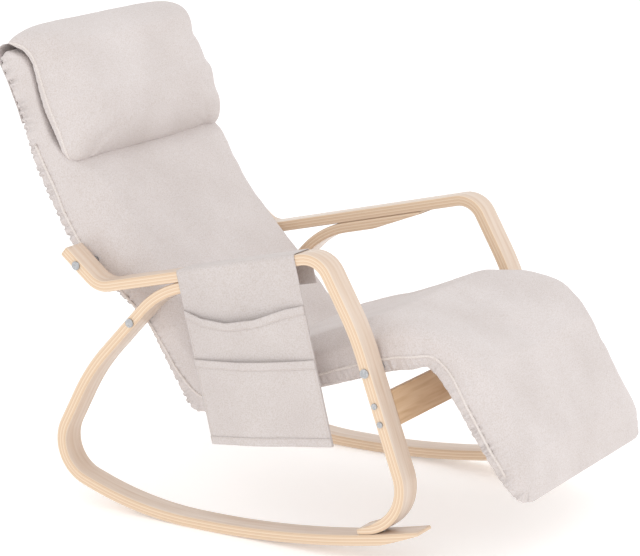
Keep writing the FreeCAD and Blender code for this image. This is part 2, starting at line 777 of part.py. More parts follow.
taper_way = (back_front[3][0] - taper_top)
taper_way.normalize()
taper_out = left_of(taper_way) * -1
lean = taper_top + taper_out * size("soft_gap")
pillow_low = lean + taper_way * (size("pillow_length") - size("pillow_over"))
crown = back_rear[-1][0] + top_way * size("soft_gap")
crown_rear = crown - left_of(top_way) * (2 * rest_face + size("flap_thick"))
pillow_top = crown_rear + top_way * size("pillow_over")
front_top = lean + taper_out * size("pillow_thick") - taper_way * size("pillow_over")
pillow_outline = [
    (pillow_low, 20.0),
    (crossing(lean, taper_way, crown, left_of(top_way)), 0.0),
    (crown_rear, 3.0),
    (pillow_top, 30.0),
    (front_top, 36.0),
    (pillow_low + taper_out * size("pillow_thick"), 34.0),
]
pillow = plate("headrest_pillow", rounded(pillow_outline, True),
               f"{cushion_width} - 2 * sizes.pillow_side_inset", "0")
flap_near = back_top - left_of(top_way) * rest_face + top_way * size("pad_overhang")
flap_outline = rounded([
    (flap_near + top_way * 0.2, 0.0),
    (flap_near - top_way * size("flap_length"), 0.0),
    (flap_near - top_way * size("flap_length") - left_of(top_way) * size("flap_thick"), 1.0),
    (flap_near + top_way * 0.2 - left_of(top_way) * size("flap_thick"), 0.0),
], True)
plate("headrest_flap", flap_outline, f"{cushion_width} - 8 * sizes.pillow_side_inset", "0")

# ---------------------------------------------------------------- side pocket

cloth = size("bag_cloth")
arm_out = left_of(arm_way)
bag_front = arm_front + arm_way * size("bag_behind_bend")
bag_rear = bag_front + arm_way * size("bag_width")
arm_top = thick / 2.0 + size("bag_arm_gap")
hang_way = heading(-90 - size("bag_hang_lean"))


def hanging(front, rear, drop_from, drop_to):
    """A slanted panel between two drops below the arm's upper face."""
    lift = arm_out * (arm_top + cloth)
    return rounded([
        (front + lift + hang_way * drop_from, 0.0),
        (front + lift + hang_way * drop_to, 6.0),
        (rear + lift + hang_way * drop_to, 6.0),
        (rear + lift + hang_way * drop_from, 0.0),
    ], True)


panel_x = half_width + size("bag_arm_gap")
bag_centre = "-(sizes.overall_width / 2 + sizes.bag_arm_gap + sizes.bag_cloth / 2)"
plate("bag_panel", hanging(bag_front, bag_rear, 0.0, size("bag_drop")), "sizes.bag_cloth",
      bag_centre)
over_line = [(bag_front + arm_out * (arm_top + cloth / 2.0), 0.0),
             (bag_rear + arm_out * (arm_top + cloth / 2.0), 0.0)]
plate("bag_arm_band", strip_outline(over_line, cloth),
      "sizes.strip_width + 2 * sizes.bag_arm_gap", f"-{strip_centre}")
inner_panel = hanging(bag_front, bag_rear, 0.0, size("bag_flap_drop"))
plate("bag_inner_flap", inner_panel, "sizes.bag_cloth",
      "-(sizes.overall_width / 2 - sizes.strip_width - sizes.bag_arm_gap"
      " - sizes.bag_cloth / 2)")


def pocket(name, height, depth, start):
    """A pocket front held off the panel by seams down both sides and along the foot."""
    seam = size("pocket_seam")
    top = size("bag_drop") - height
    foot = size("bag_drop")
    outer = hanging(bag_front, bag_rear, top, foot)
    front = plate(name, outer, f"{depth} + sizes.bag_cloth", start)
    inner = hanging(bag_front + arm_way * seam, bag_rear - arm_way * seam, top - 20.0,
                    foot - seam)
    sketch = front.newObject("Sketcher::SketchObject", name + "_hollow_outline")
    sketch.AttachmentSupport = [(origin_plane(front, "YZ_Plane"), "")]
    sketch.MapMode = "FlatFace"
    sketch.setExpression("AttachmentOffset.Base.z",
                         f"({depth} + sizes.bag_cloth) / 2 - ({depth})")
    for piece in inner:
        sketch.addGeometry(piece)
    hollow = front.newObject("PartDesign::Pocket", name + "_hollow")
    hollow.Profile = sketch
    hollow.setExpression("Length", f"{depth} + 1")
    hollow.Reversed = True
    return front


rear_start_x = "-(sizes.overall_width / 2 + sizes.bag_arm_gap + sizes.bag_cloth"
rear_pocket = pocket(
    "bag_rear_pocket", size("rear_pocket_height"), "sizes.rear_pocket_depth",
    rear_start_x + " + (sizes.rear_pocket_depth + sizes.bag_cloth) / 2)")
front_pocket = pocket(
    "bag_front_pocket", size("front_pocket_height"), "sizes.front_pocket_depth",
    rear_start_x + " + sizes.rear_pocket_depth + sizes.bag_cloth"
    " + (sizes.front_pocket_depth + sizes.bag_cloth) / 2)")

# ---------------------------------------------------------------- check and write

doc.recompute()
for item in doc.Objects:
    if "Invalid" in item.State or "Error" in item.State:
        raise ValueError(f"{item.Label} did not build: {item.State}")
labels = [node.Label for node in nodes]
if len(set(labels)) != len(labels):
    raise ValueError("two nodes share a name")
os.makedirs("parts", exist_ok=True)
for node in nodes:
    shape = node.Shape
    if shape.isNull() or not shape.isValid() or not shape.Solids:
        raise ValueError(f"{node.Label} is not a valid solid")
    print(f"{node.Label:26s} {len(shape.Solids):3d} solids {shape.Volume / 1000:10.1f} cm3")
    shape.exportStep(f"parts/{node.Label}.step")
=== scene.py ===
import bmesh
import bpy
import math
import numpy as np
from mathutils import Matrix, Vector, noise
from mathutils.bvhtree import BVHTree


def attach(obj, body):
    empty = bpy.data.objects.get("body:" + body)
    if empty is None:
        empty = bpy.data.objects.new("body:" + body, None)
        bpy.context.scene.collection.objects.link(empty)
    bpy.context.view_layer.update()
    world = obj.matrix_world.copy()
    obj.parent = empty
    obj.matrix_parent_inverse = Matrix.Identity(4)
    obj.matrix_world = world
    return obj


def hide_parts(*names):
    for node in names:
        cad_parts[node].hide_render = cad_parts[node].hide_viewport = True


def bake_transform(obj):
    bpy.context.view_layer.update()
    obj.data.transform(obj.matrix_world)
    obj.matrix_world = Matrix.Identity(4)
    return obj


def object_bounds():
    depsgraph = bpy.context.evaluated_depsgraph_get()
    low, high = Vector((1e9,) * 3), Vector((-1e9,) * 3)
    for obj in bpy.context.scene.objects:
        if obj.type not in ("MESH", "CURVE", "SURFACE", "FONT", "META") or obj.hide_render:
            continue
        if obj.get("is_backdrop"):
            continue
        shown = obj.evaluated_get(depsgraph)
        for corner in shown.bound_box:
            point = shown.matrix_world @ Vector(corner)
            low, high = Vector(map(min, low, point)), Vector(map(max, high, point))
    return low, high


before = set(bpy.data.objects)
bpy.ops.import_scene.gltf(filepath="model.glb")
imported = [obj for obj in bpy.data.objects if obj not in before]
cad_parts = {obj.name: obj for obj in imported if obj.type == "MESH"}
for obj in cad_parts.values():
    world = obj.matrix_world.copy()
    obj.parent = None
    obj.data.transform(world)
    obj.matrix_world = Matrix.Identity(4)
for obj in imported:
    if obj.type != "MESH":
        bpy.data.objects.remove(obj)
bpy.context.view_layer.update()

# ---------------------------------------------------------------- studio
# A pale studio: a wide white floor, a white surround and two soft lamps, with the camera
# low in front of the chair's right side.


def linear(code):
    """Turn an sRGB hex colour into linear red, green, blue and alpha."""
    parts = [int(code[place:place + 2], 16) / 255.0 for place in (1, 3, 5)]
    parts = [c / 12.92 if c <= 0.04045 else ((c + 0.055) / 1.055) ** 2.4 for c in parts]
    return (*parts, 1.0)


def put(tree, kind, values=None, links=None, **settings):
    """Add a node: its own settings, the values of its sockets and what feeds them."""
    made = tree.nodes.new(kind)
    for name, value in settings.items():
        setattr(made, name, value)
    for socket, value in (values or {}).items():
        made.inputs[socket].default_value = value
    for socket, source in (links or {}).items():
        tree.links.new(source, made.inputs[socket])
    return made


def finish(name):
    """A new material and its tree, emptied but for the surface shader."""
    made = bpy.data.materials.new(name)
    made.use_nodes = True
    made.node_tree.nodes.clear()
    shader = put(made.node_tree, "ShaderNodeBsdfPrincipled")
    put(made.node_tree, "ShaderNodeOutputMaterial", links={"Surface": shader.outputs[0]})
    return made, made.node_tree, shader


def ramp(tree, feed, stops):
    """A colour ramp through (place, colour) stops."""
    made = put(tree, "ShaderNodeValToRGB", links={"Fac": feed})
    steps = made.color_ramp.elements
    while len(steps) < len(stops):
        steps.new(0.5)
    for step, (place, colour) in zip(steps, stops):
        step.position = place
        step.color = linear(colour)
    return made


def solid(name, points, faces, material):
    """A mesh object at the origin with its place in its points, smooth shaded."""
    mesh = bpy.data.meshes.new(name)
    mesh.from_pydata([tuple(p) for p in points], [], faces)
    mesh.materials.append(material)
    mesh.shade_smooth()
    made = bpy.data.objects.new(name, mesh)
    bpy.context.scene.collection.objects.link(made)
    return made


floor_paint, tree, shader = finish("matt_white_floor_paint")
shader.inputs["Base Color"].default_value = linear("#fbfaf9")
shader.inputs["Roughness"].default_value = 0.9
shader.inputs["Emission Color"].default_value = linear("#ffffff")
shader.inputs["Emission Strength"].default_value = 0.22
floor = solid("floor", [(-14, -14, 0), (14, -14, 0), (14, 14, 0), (-14, 14, 0)],
              [(0, 1, 2, 3)], floor_paint)
floor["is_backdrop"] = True

surround = bpy.data.worlds.new("white_surround")
surround.use_nodes = True
surround.node_tree.nodes["Background"].inputs["Color"].default_value = (1, 1, 1, 1)
surround.node_tree.nodes["Background"].inputs["Strength"].default_value = 1.0
bpy.context.scene.world = surround
bpy.context.scene.view_settings.view_transform = "Standard"

for name, place, watts, width in (
    ("key_lamp", (0.6, -3.2, 3.6), 20.0, 2.6),
    ("fill_lamp", (-3.8, -1.4, 2.4), 22.0, 3.0),
):
    lamp = bpy.data.lights.new(name, "AREA")
    lamp.energy = watts
    lamp.size = width
    held = bpy.data.objects.new(name, lamp)
    held.location = place
    aim = Vector((0.0, 0.0, 0.45)) - Vector(place)
    held.rotation_euler = aim.to_track_quat("-Z", "Y").to_euler()
    bpy.context.scene.collection.objects.link(held)

lens = bpy.data.cameras.new("camera")
lens.lens = 144.99
lens.sensor_width = 36.0
lens.clip_end = 60.0
camera = bpy.data.objects.new("camera", lens)
sight = (Vector((0.5168, -0.8561, 0.0)), Vector((0.2046, 0.1235, 0.9711)),
         Vector((-0.8313, -0.5019, 0.2390)))
turned = Matrix([[axis[row] for axis in sight] for row in range(3)]).to_4x4()
camera.matrix_world = Matrix.Translation((-4.3305, -2.6056, 1.6949)) @ turned
bpy.context.scene.collection.objects.link(camera)
bpy.context.scene.camera = camera

# ---------------------------------------------------------------- side frames
# Four bent strips of seven-ply birch, each 55 mm wide and 22 mm thick: on each side an arm
# that runs down into the front leg, and a rocker that sweeps up behind it as the rear leg.
# The veneers are glued in a curved press, so the edges show the plies and the faces the grain.

strip_width = 0.055
strip_thick = 0.022
arris = 0.004
strip_middle = 0.3075
arm_line = [(401.8, 525.8, 0), (321.0, 460.4, 50), (-186.1, 584.0, 50),
            (-266.1, 443.1, 500), (-393.5, 89.2, 86), (-273.1, 66.1, 0)]
rocker_line = [(-66.0, 531.9, 0), (175.0, 473.1, 200), (346.2, 288.2, 450),
               (453.2, 86.2, 80), (229.8, 11.0, 750), (-163.0, 11.0, 1975),
               (-407.3, 72.8, 0)]
# each glued end is scarfed on its free side: how far, and what thickness is left
foot_scarf = (0.050, 0.50)
tail_scarf = (0.120, 0.25)
front_scarf = (0.085, 0.35)

birch, tree, shader = finish("birch_plywood_lacquered")
# rotary-cut birch under clear lacquer: pale satin faces with fine long grain, tan ply edges
along = put(tree, "ShaderNodeAttribute", attribute_name="along").outputs["Fac"]
depth = put(tree, "ShaderNodeAttribute", attribute_name="ply").outputs["Fac"]
on_edge = put(tree, "ShaderNodeAttribute", attribute_name="edge").outputs["Fac"]
place = put(tree, "ShaderNodeTexCoord").outputs["Object"]
apart = put(tree, "ShaderNodeSeparateXYZ", links={0: place})
flow = put(tree, "ShaderNodeCombineXYZ", links={0: along, 1: apart.outputs[0], 2: depth})
stretch = put(tree, "ShaderNodeVectorMath", {1: (5.0, 110.0, 110.0)}, {0: flow.outputs[0]},
              operation="MULTIPLY")
grain = put(tree, "ShaderNodeTexNoise", {"Scale": 1.0, "Detail": 6.0, "Roughness": 0.6},
            {"Vector": stretch.outputs[0]})
broad = put(tree, "ShaderNodeVectorMath", {1: (2.2, 26.0, 26.0)}, {0: flow.outputs[0]},
            operation="MULTIPLY")
figure = put(tree, "ShaderNodeTexNoise", {"Scale": 1.0, "Detail": 3.0},
             {"Vector": broad.outputs[0]})
face_tone = ramp(tree, grain.outputs["Fac"], [(0.25, "#d0b8a2"), (0.5, "#dccaba"),
                                              (0.75, "#e4d7cc")])
figure_tone = ramp(tree, figure.outputs["Fac"], [(0.3, "#efdfcd"), (0.7, "#ffffff")])
face = put(tree, "ShaderNodeMix", {0: 0.6}, {6: face_tone.outputs[0],
                                            7: figure_tone.outputs[0]},
           data_type="RGBA", blend_type="MULTIPLY")
# one dark and one light veneer to every 6.3 mm of the edge
plies = put(tree, "ShaderNodeMath", {1: 159.0}, {0: depth}, operation="MULTIPLY")
ply = put(tree, "ShaderNodeMath", links={0: plies.outputs[0]}, operation="FRACT")
ply_tone = ramp(tree, ply.outputs[0], [(0.0, "#cfae8c"), (0.08, "#e4ccb1"), (0.46, "#e9d4bc"),
                                       (0.52, "#caa884"), (0.6, "#dbbd9e"),
                                       (0.93, "#dfc4a8")])
wood = put(tree, "ShaderNodeMix", links={0: on_edge, 6: face.outputs[2],
                                         7: ply_tone.outputs[0]}, data_type="RGBA")
tree.links.new(wood.outputs[2], shader.inputs["Base Color"])
pores = put(tree, "ShaderNodeBump", {"Strength": 0.12, "Distance": 0.0004},
            {"Height": grain.outputs["Fac"]})
tree.links.new(pores.outputs[0], shader.inputs["Normal"])
shader.inputs["Roughness"].default_value = 0.38
shader.inputs["Coat Weight"].default_value = 0.25
shader.inputs["Coat Roughness"].default_value = 0.2


def rounded_line(corners, step=0.008):
    """Even points along straight runs whose corners are rounded, from (Y, Z, radius) in mm."""
    spots = [Vector((y, z)) / 1000.0 for y, z, radius in corners]
    line = [spots[0]]
    for index in range(1, len(spots) - 1):
        before = (spots[index] - spots[index - 1]).normalized()
        after = (spots[index + 1] - spots[index]).normalized()
        radius = corners[index][2] / 1000.0
        turn = before.angle_signed(after)
        cut = radius * math.tan(abs(turn) / 2.0)
        side = Vector((-before.y, before.x)) * (-1.0 if turn > 0 else 1.0)
        middle = spots[index] - before * cut + side * radius
        count = max(int(abs(turn) * radius / step), 6)
        for part in range(count + 1):
            swing = -turn * part / count
            arm = -side * radius
            line.append(middle + Vector((arm.x * math.cos(swing) - arm.y * math.sin(swing),
                                         arm.x * math.sin(swing) + arm.y * math.cos(swing))))
    line.append(spots[-1])
    # the straight runs are cut into even steps as well
    full = [line[0]]
    for spot in line[1:]:
        parts = max(int((spot - full[-1]).length / step), 1)
        start = full[-1]
        full += [start.lerp(spot, part / parts) for part in range(1, parts + 1)]
    return full


def strip(name, corners, side_x, start_scarf=None, end_scarf=None):
    """A bent strip: a rectangle with eased arrises carried along its middle line."""
    line = rounded_line(corners)
    total = sum((b - a).length for a, b in zip(line, line[1:]))
    first, last = line[0], line[-1]
    ease = 0.0015
    line.insert(1, first + (line[1] - first).normalized() * ease)
    line.insert(-1, last + (line[-2] - last).normalized() * ease)
    # the section: a rectangle whose four corners are eased
    ring = []
    for corner, (sx, sn) in enumerate(((1, 1), (-1, 1), (-1, -1), (1, -1))):
        for part in range(5):
            angle = math.radians(corner * 90 + part * 22.5)
            ring.append((sx * (strip_width / 2 - arris) + arris * math.cos(angle),
                         sn * (strip_thick / 2 - arris) + arris * math.sin(angle)))
    points, plies, runs = [], [], []
    run = 0.0
    for index, spot in enumerate(line):
        ahead = line[min(index + 1, len(line) - 1)] - line[max(index - 1, 0)]
        out = Vector((-ahead.y, ahead.x)).normalized()
        run += (spot - line[index - 1]).length if index else 0.0
        shrink = ease if index in (0, len(line) - 1) else 0.0
        for across, up in ring:
            across -= math.copysign(shrink, across)
            up -= math.copysign(shrink, up)
            # a scarf thins the strip from its free side towards its end
            for scarf, free, gone in ((start_scarf, -1, run), (end_scarf, 1, total - run)):
                if scarf and gone < scarf[0] and up * free > 0:
                    left = scarf[1] + (1.0 - scarf[1]) * gone / scarf[0]
                    up = free * (strip_thick * left - strip_thick / 2
                                 - (strip_thick / 2 - abs(up)) * left)
            points.append((side_x + across, *(spot + out * up)))
            plies.append(up)
            runs.append(run)
    count = len(ring)
    faces = []
    for row in range(len(line) - 1):
        for step in range(count):
            here, there = row * count + step, row * count + (step + 1) % count
            faces.append((here, there, there + count, here + count))
    faces.append(tuple(reversed(range(count))))
    faces.append(tuple(range(len(points) - count, len(points))))
    made = solid(name, points, faces, birch)
    mesh = made.data
    for label, values in (("ply", plies), ("along", runs)):
        mesh.attributes.new(label, "FLOAT", "POINT").data.foreach_set("value", values)
    edge = mesh.attributes.new("edge", "FLOAT", "CORNER")
    for polygon in mesh.polygons:
        cap = polygon.index >= len(faces) - 2
        for loop in polygon.loop_indices:
            part = mesh.loops[loop].vertex_index % count
            reach = (abs(ring[part][0]) - (strip_width / 2 - arris)) / arris
            edge.data[loop].value = 1.0 if cap else min(max(reach * 1.3, 0.0), 1.0)
        polygon.use_smooth = not cap
    outward(made)
    return made


def outward(made):
    """Turn every face of a closed mesh outwards."""
    work = bmesh.new()
    work.from_mesh(made.data)
    bmesh.ops.recalc_face_normals(work, faces=work.faces[:])
    work.to_mesh(made.data)
    work.free()


for side, sign in (("left", 1), ("right", -1)):
    for part, line, scarfs in (("arm_leg", arm_line, (None, foot_scarf)),
                               ("rocker", rocker_line, (tail_scarf, front_scarf))):
        piece = strip(f"{side}_{part}_strip", line, sign * strip_middle, *scarfs)
        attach(piece, "frame")
        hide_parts(f"{side}_{part}")

# ---------------------------------------------------------------- crossbar, rails and slats
# A solid board screwed between the front legs, and under the cover the seat and back rails
# with their sprung slats, cut from the same pale birch and sealed.

board, tree, shader = finish("birch_board_sealed")
# planed board under a thin sealer: warmer than the veneer, with grain down its length
place = put(tree, "ShaderNodeTexCoord").outputs["Object"]
stretch = put(tree, "ShaderNodeMapping", {"Scale": (7.0, 95.0, 95.0)}, {"Vector": place})
grain = put(tree, "ShaderNodeTexNoise", {"Scale": 1.0, "Detail": 5.0, "Distortion": 0.4},
            {"Vector": stretch.outputs[0]})
tone = ramp(tree, grain.outputs["Fac"], [(0.3, "#c9a27a"), (0.52, "#d9b792"),
                                         (0.72, "#e2c4a2")])
tree.links.new(tone.outputs[0], shader.inputs["Base Color"])
pores = put(tree, "ShaderNodeBump", {"Strength": 0.15, "Distance": 0.0004},
            {"Height": grain.outputs["Fac"]})
tree.links.new(pores.outputs[0], shader.inputs["Normal"])
shader.inputs["Roughness"].default_value = 0.45

for node in ("front_crossbar", "left_seat_back_rail", "right_seat_back_rail", "seat_slats",
             "back_slats", "back_top_rail", "seat_front_rail", "left_footrest_rail",
             "right_footrest_rail", "footrest_slats", "footrest_toe_rail"):
    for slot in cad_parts[node].material_slots:
        slot.material = board

# ---------------------------------------------------------------- fasteners and hinges
# Zinc-plated steel bolts and screws hold the strips, the spacers and the crossbar; the
# ratchet hinges of the footrest are stamped steel leaves, powder coated grey.

zinc, tree, shader = finish("zinc_plated_steel")
# bright plating with a faint cloudy passivate
place = put(tree, "ShaderNodeTexCoord").outputs["Object"]
cloud = put(tree, "ShaderNodeTexNoise", {"Scale": 260.0, "Detail": 3.0}, {"Vector": place})
tone = ramp(tree, cloud.outputs["Fac"], [(0.3, "#9fa1a4"), (0.7, "#c6c7c9")])
tree.links.new(tone.outputs[0], shader.inputs["Base Color"])
rough = put(tree, "ShaderNodeMapRange", {3: 0.24, 4: 0.42}, {0: cloud.outputs["Fac"]})
tree.links.new(rough.outputs[0], shader.inputs["Roughness"])
shader.inputs["Metallic"].default_value = 1.0

coat, tree, shader = finish("powder_coated_steel")
# a fine orange-peel coat about half a millimetre across
place = put(tree, "ShaderNodeTexCoord").outputs["Object"]
peel = put(tree, "ShaderNodeTexNoise", {"Scale": 900.0, "Detail": 2.0}, {"Vector": place})
tone = ramp(tree, peel.outputs["Fac"], [(0.3, "#6f7174"), (0.7, "#818386")])
tree.links.new(tone.outputs[0], shader.inputs["Base Color"])
texture = put(tree, "ShaderNodeBump", {"Strength": 0.2, "Distance": 0.0002},
              {"Height": peel.outputs["Fac"]})
tree.links.new(texture.outputs[0], shader.inputs["Normal"])
shader.inputs["Roughness"].default_value = 0.5

for metal, nodes in ((zinc, ("crossbar_bolts", "frame_bolts", "frame_spacers", "lap_screws",
                             "seat_leaf_screws", "foot_leaf_screws")),
                     (coat, ("left_hinge_seat_leaf", "right_hinge_seat_leaf",
                             "left_hinge_foot_leaf", "right_hinge_foot_leaf",
                             "hinge_pins"))):
    for node in nodes:
        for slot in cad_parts[node].material_slots:
            slot.material = metal

# ---------------------------------------------------------------- fitted cover
# One padded canvas cover over the back, seat and footrest, sewn as a flat face and a side
# band with a corded seam, filled with soft wadding on foam and gathered on elastic below.

# the cover's underside and rear, as (Y, Z) in mm from the toe to the top of the back
under = [(-598, 152), (-590, 144), (-574, 156), (-546, 188), (-514, 231), (-471, 292),
         (-428, 354), (-385, 396), (-353, 376), (-321, 373), (-295, 365), (-167, 317),
         (-25, 268),
         (117, 219), (141, 215), (157, 235), (204, 311), (250, 387), (322, 439),
         (400, 488), (443, 538), (519, 674), (553, 782), (580, 842), (599, 876),
         (603, 890)]
# the face's crown: Y, Z and how far the cloth falls from it to the seam at the side, in mm
crown = [(-599, 178, 6), (-595, 204, 12), (-566, 254, 16), (-542, 297, 17), (-495, 373, 18),
         (-458, 438, 22), (-419, 469, 30), (-378, 484, 38), (-314, 478, 42),
         (-222, 442, 36), (-129, 403, 34), (-34, 369, 34), (45, 341, 34),
         (94, 314, 34), (122, 348, 42), (196, 440, 58), (258, 503, 66), (317, 567, 68),
         (361, 630, 66), (398, 684, 52), (444, 714, 28), (470, 740, 14), (498, 792, 7),
         (513, 842, 6), (524, 882, 6), (548, 902, 6), (592, 908, 5)]
cover_half = 0.267
under_gap = 0.0045
cord_radius = 0.0027


def canvas(name, light, dark, thread=0.0016):
    """Plain-woven cotton canvas: crossed threads, slubs and a soft unevenness of tone."""
    made, tree, shader = finish(name)
    place = put(tree, "ShaderNodeTexCoord").outputs["Object"]
    # a wave texture of scale s has a ridge every 0.314 / s metres: one to every two threads
    ridges = 1.0 / (6.3 * thread)
    warp = put(tree, "ShaderNodeTexWave", {"Scale": ridges, "Distortion": 0.4,
                                           "Detail": 1.0}, {"Vector": place},
               bands_direction="X")
    weft = put(tree, "ShaderNodeTexWave", {"Scale": ridges, "Distortion": 0.4,
                                           "Detail": 1.0}, {"Vector": place},
               bands_direction="Z")
    weave = put(tree, "ShaderNodeMath", links={0: warp.outputs["Fac"],
                                               1: weft.outputs["Fac"]},
                operation="MULTIPLY")
    slub = put(tree, "ShaderNodeTexNoise", {"Scale": 420.0, "Detail": 4.0},
               {"Vector": place})
    patch = put(tree, "ShaderNodeTexNoise", {"Scale": 7.0, "Detail": 5.0}, {"Vector": place})
    tone = ramp(tree, patch.outputs["Fac"], [(0.3, dark), (0.7, light)])
    thread_tone = ramp(tree, slub.outputs["Fac"], [(0.3, "#ebe6df"), (0.6, "#ffffff")])
    cloth = put(tree, "ShaderNodeMix", {0: 0.8}, {6: tone.outputs[0],
                                                 7: thread_tone.outputs[0]},
                data_type="RGBA", blend_type="MULTIPLY")
    tree.links.new(cloth.outputs[2], shader.inputs["Base Color"])
    height = put(tree, "ShaderNodeMath", links={0: weave.outputs[0],
                                                1: slub.outputs["Fac"]}, operation="ADD")
    fine = put(tree, "ShaderNodeBump", {"Strength": 0.25, "Distance": 0.0006},
               {"Height": height.outputs[0]})
    crumple = put(tree, "ShaderNodeTexNoise", {"Scale": 24.0, "Detail": 3.0},
                  {"Vector": place})
    soft = put(tree, "ShaderNodeBump", {"Strength": 0.3, "Distance": 0.004},
               {"Height": crumple.outputs["Fac"], "Normal": fine.outputs[0]})
    tree.links.new(soft.outputs[0], shader.inputs["Normal"])
    shader.inputs["Roughness"].default_value = 0.92
    shader.inputs["Sheen Weight"].default_value = 0.15
    shader.inputs["Specular IOR Level"].default_value = 0.2
    return made


cover_canvas = canvas("cream_cotton_canvas", "#dbd4d3", "#d2cac8")


def even(line, count):
    """The same number of evenly spaced points along any line, each row its own values."""
    line = np.array(line, float)
    run = np.concatenate([[0], np.cumsum(np.linalg.norm(np.diff(line[:, :2], axis=0), axis=1))])
    marks = np.linspace(0, run[-1], count)
    return np.stack([np.interp(marks, run, line[:, k]) for k in range(line.shape[1])], axis=1)


def softened(line, times):
    """A line with its corners eased by averaging neighbours, its ends kept."""
    line = line.copy()
    for turn in range(times):
        line[1:-1] = (line[:-2] + 2 * line[1:-1] + line[2:]) / 4.0
    return line


def inward(line):
    """The unit normals of a line, to its right."""
    ahead = np.gradient(line, axis=0)
    ahead /= np.linalg.norm(ahead, axis=1)[:, None]
    return np.stack([ahead[:, 1], -ahead[:, 0]], axis=1)


def nearest(points, line):
    """For each (Y, Z) row, how far it is from a line and how far along the line that is."""
    run = np.concatenate([[0], np.cumsum(np.linalg.norm(np.diff(line, axis=0), axis=1))])
    away, along = [], []
    for part in np.array_split(points, max(len(points) // 8000, 1)):
        gap = ((part[:, None, :] - line[None]) ** 2).sum(2)
        pick = gap.argmin(1)
        away.append(np.sqrt(gap[np.arange(len(part)), pick]))
        along.append(run[pick])
    return np.concatenate(away), np.concatenate(along)


under_line = softened(even(under, 240), 6) / 1000.0
under_line += inward(under_line) * under_gap
crown_line = softened(even(crown, 240), 8)
crown_drop = crown_line[:, 2] / 1000.0
crown_line = crown_line[:, :2] / 1000.0
edge_line = crown_line + inward(crown_line) * crown_drop[:, None]
# how far air will push the face out, which grows with the wadding behind it
swell = np.clip(nearest(crown_line, under_line)[0] * 0.30, 0.003, 0.018)
swell *= 1.0
toe_corner = 0.050
top_corner = 0.020


def padded_start(name, under_line, edge_line, rise, half, low_corner, high_corner):
    """A closed block whose outline is carried across the width. Its face domes from the
    side seams, and its outline draws in at the corners, as seen from in front."""
    points, faces = [], []
    out = -inward(edge_line)
    size = len(edge_line)
    base = np.linspace(0.0, 1.0, size)
    length = np.linalg.norm(np.diff(edge_line, axis=0), axis=1).sum()
    # the stations crowd towards the sides, where the face rounds over
    stations = half * np.sin(np.linspace(-math.pi / 2, math.pi / 2, 71))
    for x in stations:
        # a high power keeps the face full almost to its sides
        dome = math.sqrt(max(1.0 - abs(x / half) ** 14, 0.0))
        face = edge_line + out * (rise * dome)[:, None]
        ends = []
        for corner in (low_corner, high_corner):
            gone = min(max(abs(x) - (half - corner), 0.0) / corner, 1.0)
            ends.append(corner * (1.0 - math.sqrt(1.0 - gone * gone)) / length)
        marks = np.linspace(ends[0], 1.0 - ends[1], size)
        rear = np.stack([np.interp(marks, base, under_line[:, k]) for k in (0, 1)], axis=1)
        front = np.stack([np.interp(marks, base, face[:, k]) for k in (0, 1)], axis=1)
        points += [(x, y, z) for y, z in np.concatenate([rear, front[::-1]])]
    count = 2 * size
    for row in range(len(stations) - 1):
        for step in range(count):
            here, there = row * count + step, row * count + (step + 1) % count
            faces.append((here, there, there + count, here + count))
    faces.append(tuple(reversed(range(count))))
    faces.append(tuple(range(len(points) - count, len(points))))
    made = solid(name, points, faces, cover_canvas)
    outward(made)
    return made


def plain(made):
    """Replace an object's mesh with what its modifiers make of it."""
    graph = bpy.context.evaluated_depsgraph_get()
    mesh = bpy.data.meshes.new_from_object(made.evaluated_get(graph))
    made.modifiers.clear()
    made.data = mesh


def coordinates(mesh):
    """The points of a mesh as rows of X, Y and Z."""
    flat = np.zeros(len(mesh.vertices) * 3)
    mesh.vertices.foreach_get("co", flat)
    return flat.reshape(-1, 3)


def set_coordinates(mesh, points):
    """Write rows of X, Y and Z back to the points of a mesh."""
    mesh.vertices.foreach_set("co", points.ravel())
    mesh.update()


air_moments = 20


def stuffed(made, voxel, fixed, cap, side_cap):
    """Swell a pad under air pressure: fixed points stay, the rest move up to their cap.

    Sideways the cloth only moves outwards, so that it can't bare the frame inside it.
    """
    remesh = made.modifiers.new("voxels", "REMESH")
    remesh.mode = "VOXEL"
    remesh.voxel_size = voxel
    plain(made)
    start = coordinates(made.data)
    held = made.vertex_groups.new(name="held")
    pins = np.flatnonzero(fixed(start))
    held.add([int(k) for k in pins], 1.0, "REPLACE")
    cloth = made.modifiers.new("air", "CLOTH")
    cloth.settings.quality = 4
    cloth.settings.mass = 0.3
    cloth.settings.tension_stiffness = 12.0
    cloth.settings.compression_stiffness = 12.0
    cloth.settings.shear_stiffness = 4.0
    cloth.settings.bending_stiffness = 0.6
    cloth.settings.use_pressure = True
    cloth.settings.uniform_pressure_force = 4.0
    cloth.settings.vertex_group_mass = "held"
    cloth.settings.effector_weights.gravity = 0.0
    cloth.collision_settings.use_collision = False
    cloth.point_cache.frame_start = 1
    cloth.point_cache.frame_end = air_moments
    for moment in range(1, air_moments + 1):
        bpy.context.scene.frame_set(moment)
    plain(made)
    bpy.context.scene.frame_set(1)
    made.vertex_groups.clear()
    moved = coordinates(made.data) - start
    reach = np.linalg.norm(moved[:, 1:], axis=1)
    share = np.minimum(1.0, cap(start) / np.maximum(reach, 1e-9))
    moved[:, 1:] *= share[:, None]
    side = np.sign(start[:, 0])
    moved[:, 0] = np.clip(moved[:, 0] * side, 0.0, side_cap) * side
    set_coordinates(made.data, start + moved)
    ease = made.modifiers.new("ease", "SMOOTH")
    ease.factor = 0.5
    ease.iterations = 4
    fine = made.modifiers.new("fine", "SUBSURF")
    fine.levels = fine.render_levels = 1
    plain(made)
    made.data.shade_smooth()


def cover_fixed(p):
    """The underside is held by the frame and the elastic."""
    away = nearest(p[:, 1:], under_line)[0]
    return (away < 0.004) & (np.abs(p[:, 0]) < 0.240)


